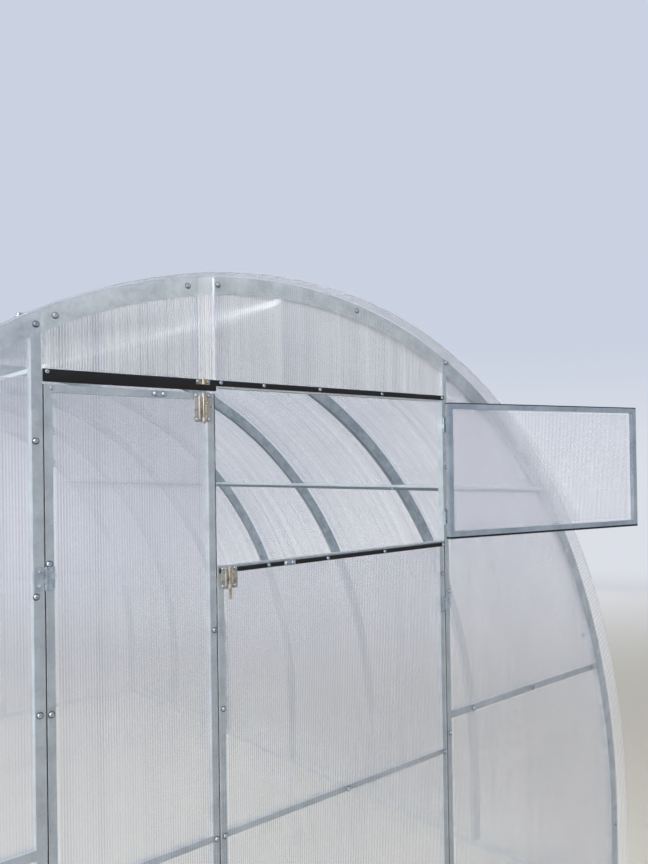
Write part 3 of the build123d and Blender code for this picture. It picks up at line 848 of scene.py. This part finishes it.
places = [facing((-557, sheet_front, 1812.5), front)]
stamped("leaf_corner_screw", pan_head, places, plate_zinc, "left_leaf")
two_bolt_plate("leaf_top_plate", -328, sheet_front, 1812, "left_leaf")
two_bolt_plate("sill_plate", 10, strip_face, 1415, "right_leaf")

# %% [markdown]
# ## Bolt latches
#
# A bolt latch is a pressed plate with two ridges for stiffness, a round bolt that slides in two straps, and a
# knob to slide it by. The plate is bright zinc and the bolt has a yellow passivated finish. The engineering
# model has them in plain shapes. Here the plate gets rounded corners and a soft rim, the ridges get
# domed ends, and four screws hold it. Ridges, straps and bolt are all turned shapes that stand upright, and
# the plate hides the back of each ridge.

# %% Bolt latches
latch_wide, latch_thick, latch_corner, latch_rim = 44, 1.5, 4, 0.5
rod_radius, rod_clearance, strap_wall, strap_high, strap_inset = 3.0, 0.3, 1.5, 9, 1
ridge_radius, ridge_spread, ridge_inset, ridge_sink = 3.0, 8.5, 4, 0.9
screw_inset, knob_lift, knob_sink = 6, 10, 0.6
knob = turned([(0, 0), (1.7, 0), (1.7, 4.5), (2.8, 5.2), (3.2, 6.6), (2.8, 8.0), (1.6, 8.8), (0, 9.0)], 16)


def upright(radius, high, dome):
    """A round bar on the ground, with its two ends domed by a set height."""
    arc = [(radius * math.cos(a), dome * math.sin(a)) for a in (math.radians(d) for d in range(0, 91, 18))]
    foot = [(r, dome - z) for r, z in reversed(arc)]
    top = [(r, high - dome + z) for r, z in arc]
    return turned(foot + top, 20)


def bolt_latch(label, node, plate_high, body):
    """A plate with ridges, straps and screws, and its bolt with a knob, in place of a node."""
    low, high = box_of(node)
    middle, back, top = (low[0] + high[0]) / 2, high[1], high[2]
    foot, face, centre = top - plate_high, back - latch_thick, top - plate_high / 2
    rod_y = face - rod_clearance - rod_radius
    ridge_bar = upright(ridge_radius, plate_high - 2 * ridge_inset, ridge_radius)
    bore = rod_radius + rod_clearance
    strap_ring = turned([(bore, 0), (bore + strap_wall, 0), (bore + strap_wall, strap_high),
                         (bore, strap_high), (bore, 0)], 24)
    blank = pressed_plate(latch_wide, latch_thick, plate_high, latch_corner, latch_rim)
    parts = [(blank, at(middle, back, centre))]
    parts += [(ridge_bar, at(middle + side * ridge_spread, face + ridge_sink, foot + ridge_inset))
              for side in (-1, 1)]
    parts += [(strap_ring, at(middle, rod_y, z))
              for z in (foot + strap_inset, top - strap_high - strap_inset)]
    plate = assembled(f"{label}_plate", parts, latch_plate_zinc, body)
    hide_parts(node)
    knob_foot = (middle + rod_radius - knob_sink, rod_y, centre + knob_lift)
    parts = [(upright(rod_radius, high[2] - low[2], 1.2), at(middle, rod_y, low[2])),
             (knob, facing(knob_foot, (0.85, -0.5, 0)))]
    assembled(f"{label}_rod", parts, latch_zinc, body)
    across, up = latch_wide / 2 - screw_inset, plate_high / 2 - screw_inset
    places = [facing((middle + i * across, face, centre + j * up), front) for i in (-1, 1) for j in (-1, 1)]
    stamped(f"{label}_screws", pan_head, places, plate_zinc, body)


bolt_latch("upper_latch", "left_leaf_latch", 65.5, "left_leaf")
bolt_latch("lower_latch", "right_leaf_latch", 52, "right_leaf")

# %% [markdown]
# ## Screws of the keeper
#
# The upper latch's bolt shoots into a keeper on the head bar. The engineering model has it as it is, and two
# screws hold it, one at each end of its plate.

# %% Keeper screws
keeper_low, keeper_high = keeper_box
keeper_screw_inset = 5.2
keeper_middle = (keeper_low[2] + keeper_high[2]) / 2
places = [facing((x, keeper_high[1] - latch_thick, keeper_middle), front)
          for x in (keeper_low[0] + keeper_screw_inset, keeper_high[0] - keeper_screw_inset)]
stamped("keeper_screws", pan_head, places, plate_zinc, "house")

# %% [markdown]
# ## Hinge screws
#
# Each hinge plate has two small screws. The plates are in the engineering model, and its boxes give the
# row of each hinge: the middles of the lowest and highest plate lie half a hinge in from its box's ends.

# %% Hinge screws
hinge_high, hinge_thick, hinge_screw_reach, hinge_screw_spread = 45, 1.5, 11.5, 14


def hinge_screws(node, side, pin, body):
    """Two screws on each of the two hinge plates of a node, which reach to one side of the pin."""
    low, high = box_of(node)
    face = high[1] - hinge_thick
    middles = (low[2] + hinge_high / 2, high[2] - hinge_high / 2)
    places = [facing((pin + side * hinge_screw_reach, face, middle + j * hinge_screw_spread), front)
              for middle in middles for j in (-1, 1)]
    stamped(f"{node}_screws", small_head, places, plate_zinc, body)


hinge_screws("left_post_hinges", -1, -pin_reach, "house")
hinge_screws("left_leaf_hinges", 1, -pin_reach, "left_leaf")
hinge_screws("right_post_hinges", 1, pin_reach, "house")
hinge_screws("right_leaf_hinges", -1, pin_reach, "right_leaf")
hinge_screws("sash_hinges", 1, pin_reach, "house")

# %% [markdown]
# ## The lap of the two sheets over the doorway
#
# Over the doorway the wall is closed by two sheets, and the left one laps over the right one by 40 mm. The
# lap looks a little denser than the rest, and its sawn edge catches the light as a white line. The lap is a
# grid of four cells side by side, whose top row is moved onto the arch, and which is then made 3 mm thick.
# The white line is made in the same way, as a slim bar beside it.

# %% Lap of the top sheets
lap_wide, lap_thick, lap_edge, arch_inset = 40, 3.0, 3.0, 2.0
lap_gap, edge_gap, strip_gap = 0.2, 0.1, 0.5
meeting_x = box_of("front_sheet_top_left")[1][0]
lap_front = sheet_front - lap_thick - lap_gap
lap_foot = box_of("head_strip_right")[1][2] + strip_gap


def arch_top(x, inset):
    """The height of the arch's outer face over a place along the wall, less an inset, in millimetres."""
    side, rise = width / 2 - inset, height - leg_height - inset
    return leg_height + rise * math.sqrt(1 - (x / side) ** 2)


def upright_sheet(name, x_low, x_high, front_y, thick, material):
    """An upright sheet from the head strip up to the arch, with its top cut to the curve."""
    shape = bmesh.new()
    bmesh.ops.create_grid(shape, x_segments=4, y_segments=1, size=0.5)
    for vert in shape.verts:
        x = x_low + (vert.co.x + 0.5) * (x_high - x_low)
        z = lap_foot if vert.co.y < 0 else arch_top(x, arch_inset)
        vert.co = Vector((x, front_y + thick, z)) / 1000
    bmesh.ops.recalc_face_normals(shape, faces=shape.faces)
    grown = bmesh.ops.extrude_face_region(shape, geom=shape.faces[:])
    moved = [v for v in grown["geom"] if isinstance(v, bmesh.types.BMVert)]
    bmesh.ops.translate(shape, verts=moved, vec=(0, -thick / 1000, 0))
    bmesh.ops.recalc_face_normals(shape, faces=shape.faces)
    return finished(name, shape, material, "house")


upright_sheet("top_sheet_lap", meeting_x - lap_wide, meeting_x - lap_edge - edge_gap, lap_front, lap_thick,
              top_sheet)
upright_sheet("top_sheet_lap_edge", meeting_x - lap_edge, meeting_x, lap_front, lap_thick, cut_edge)
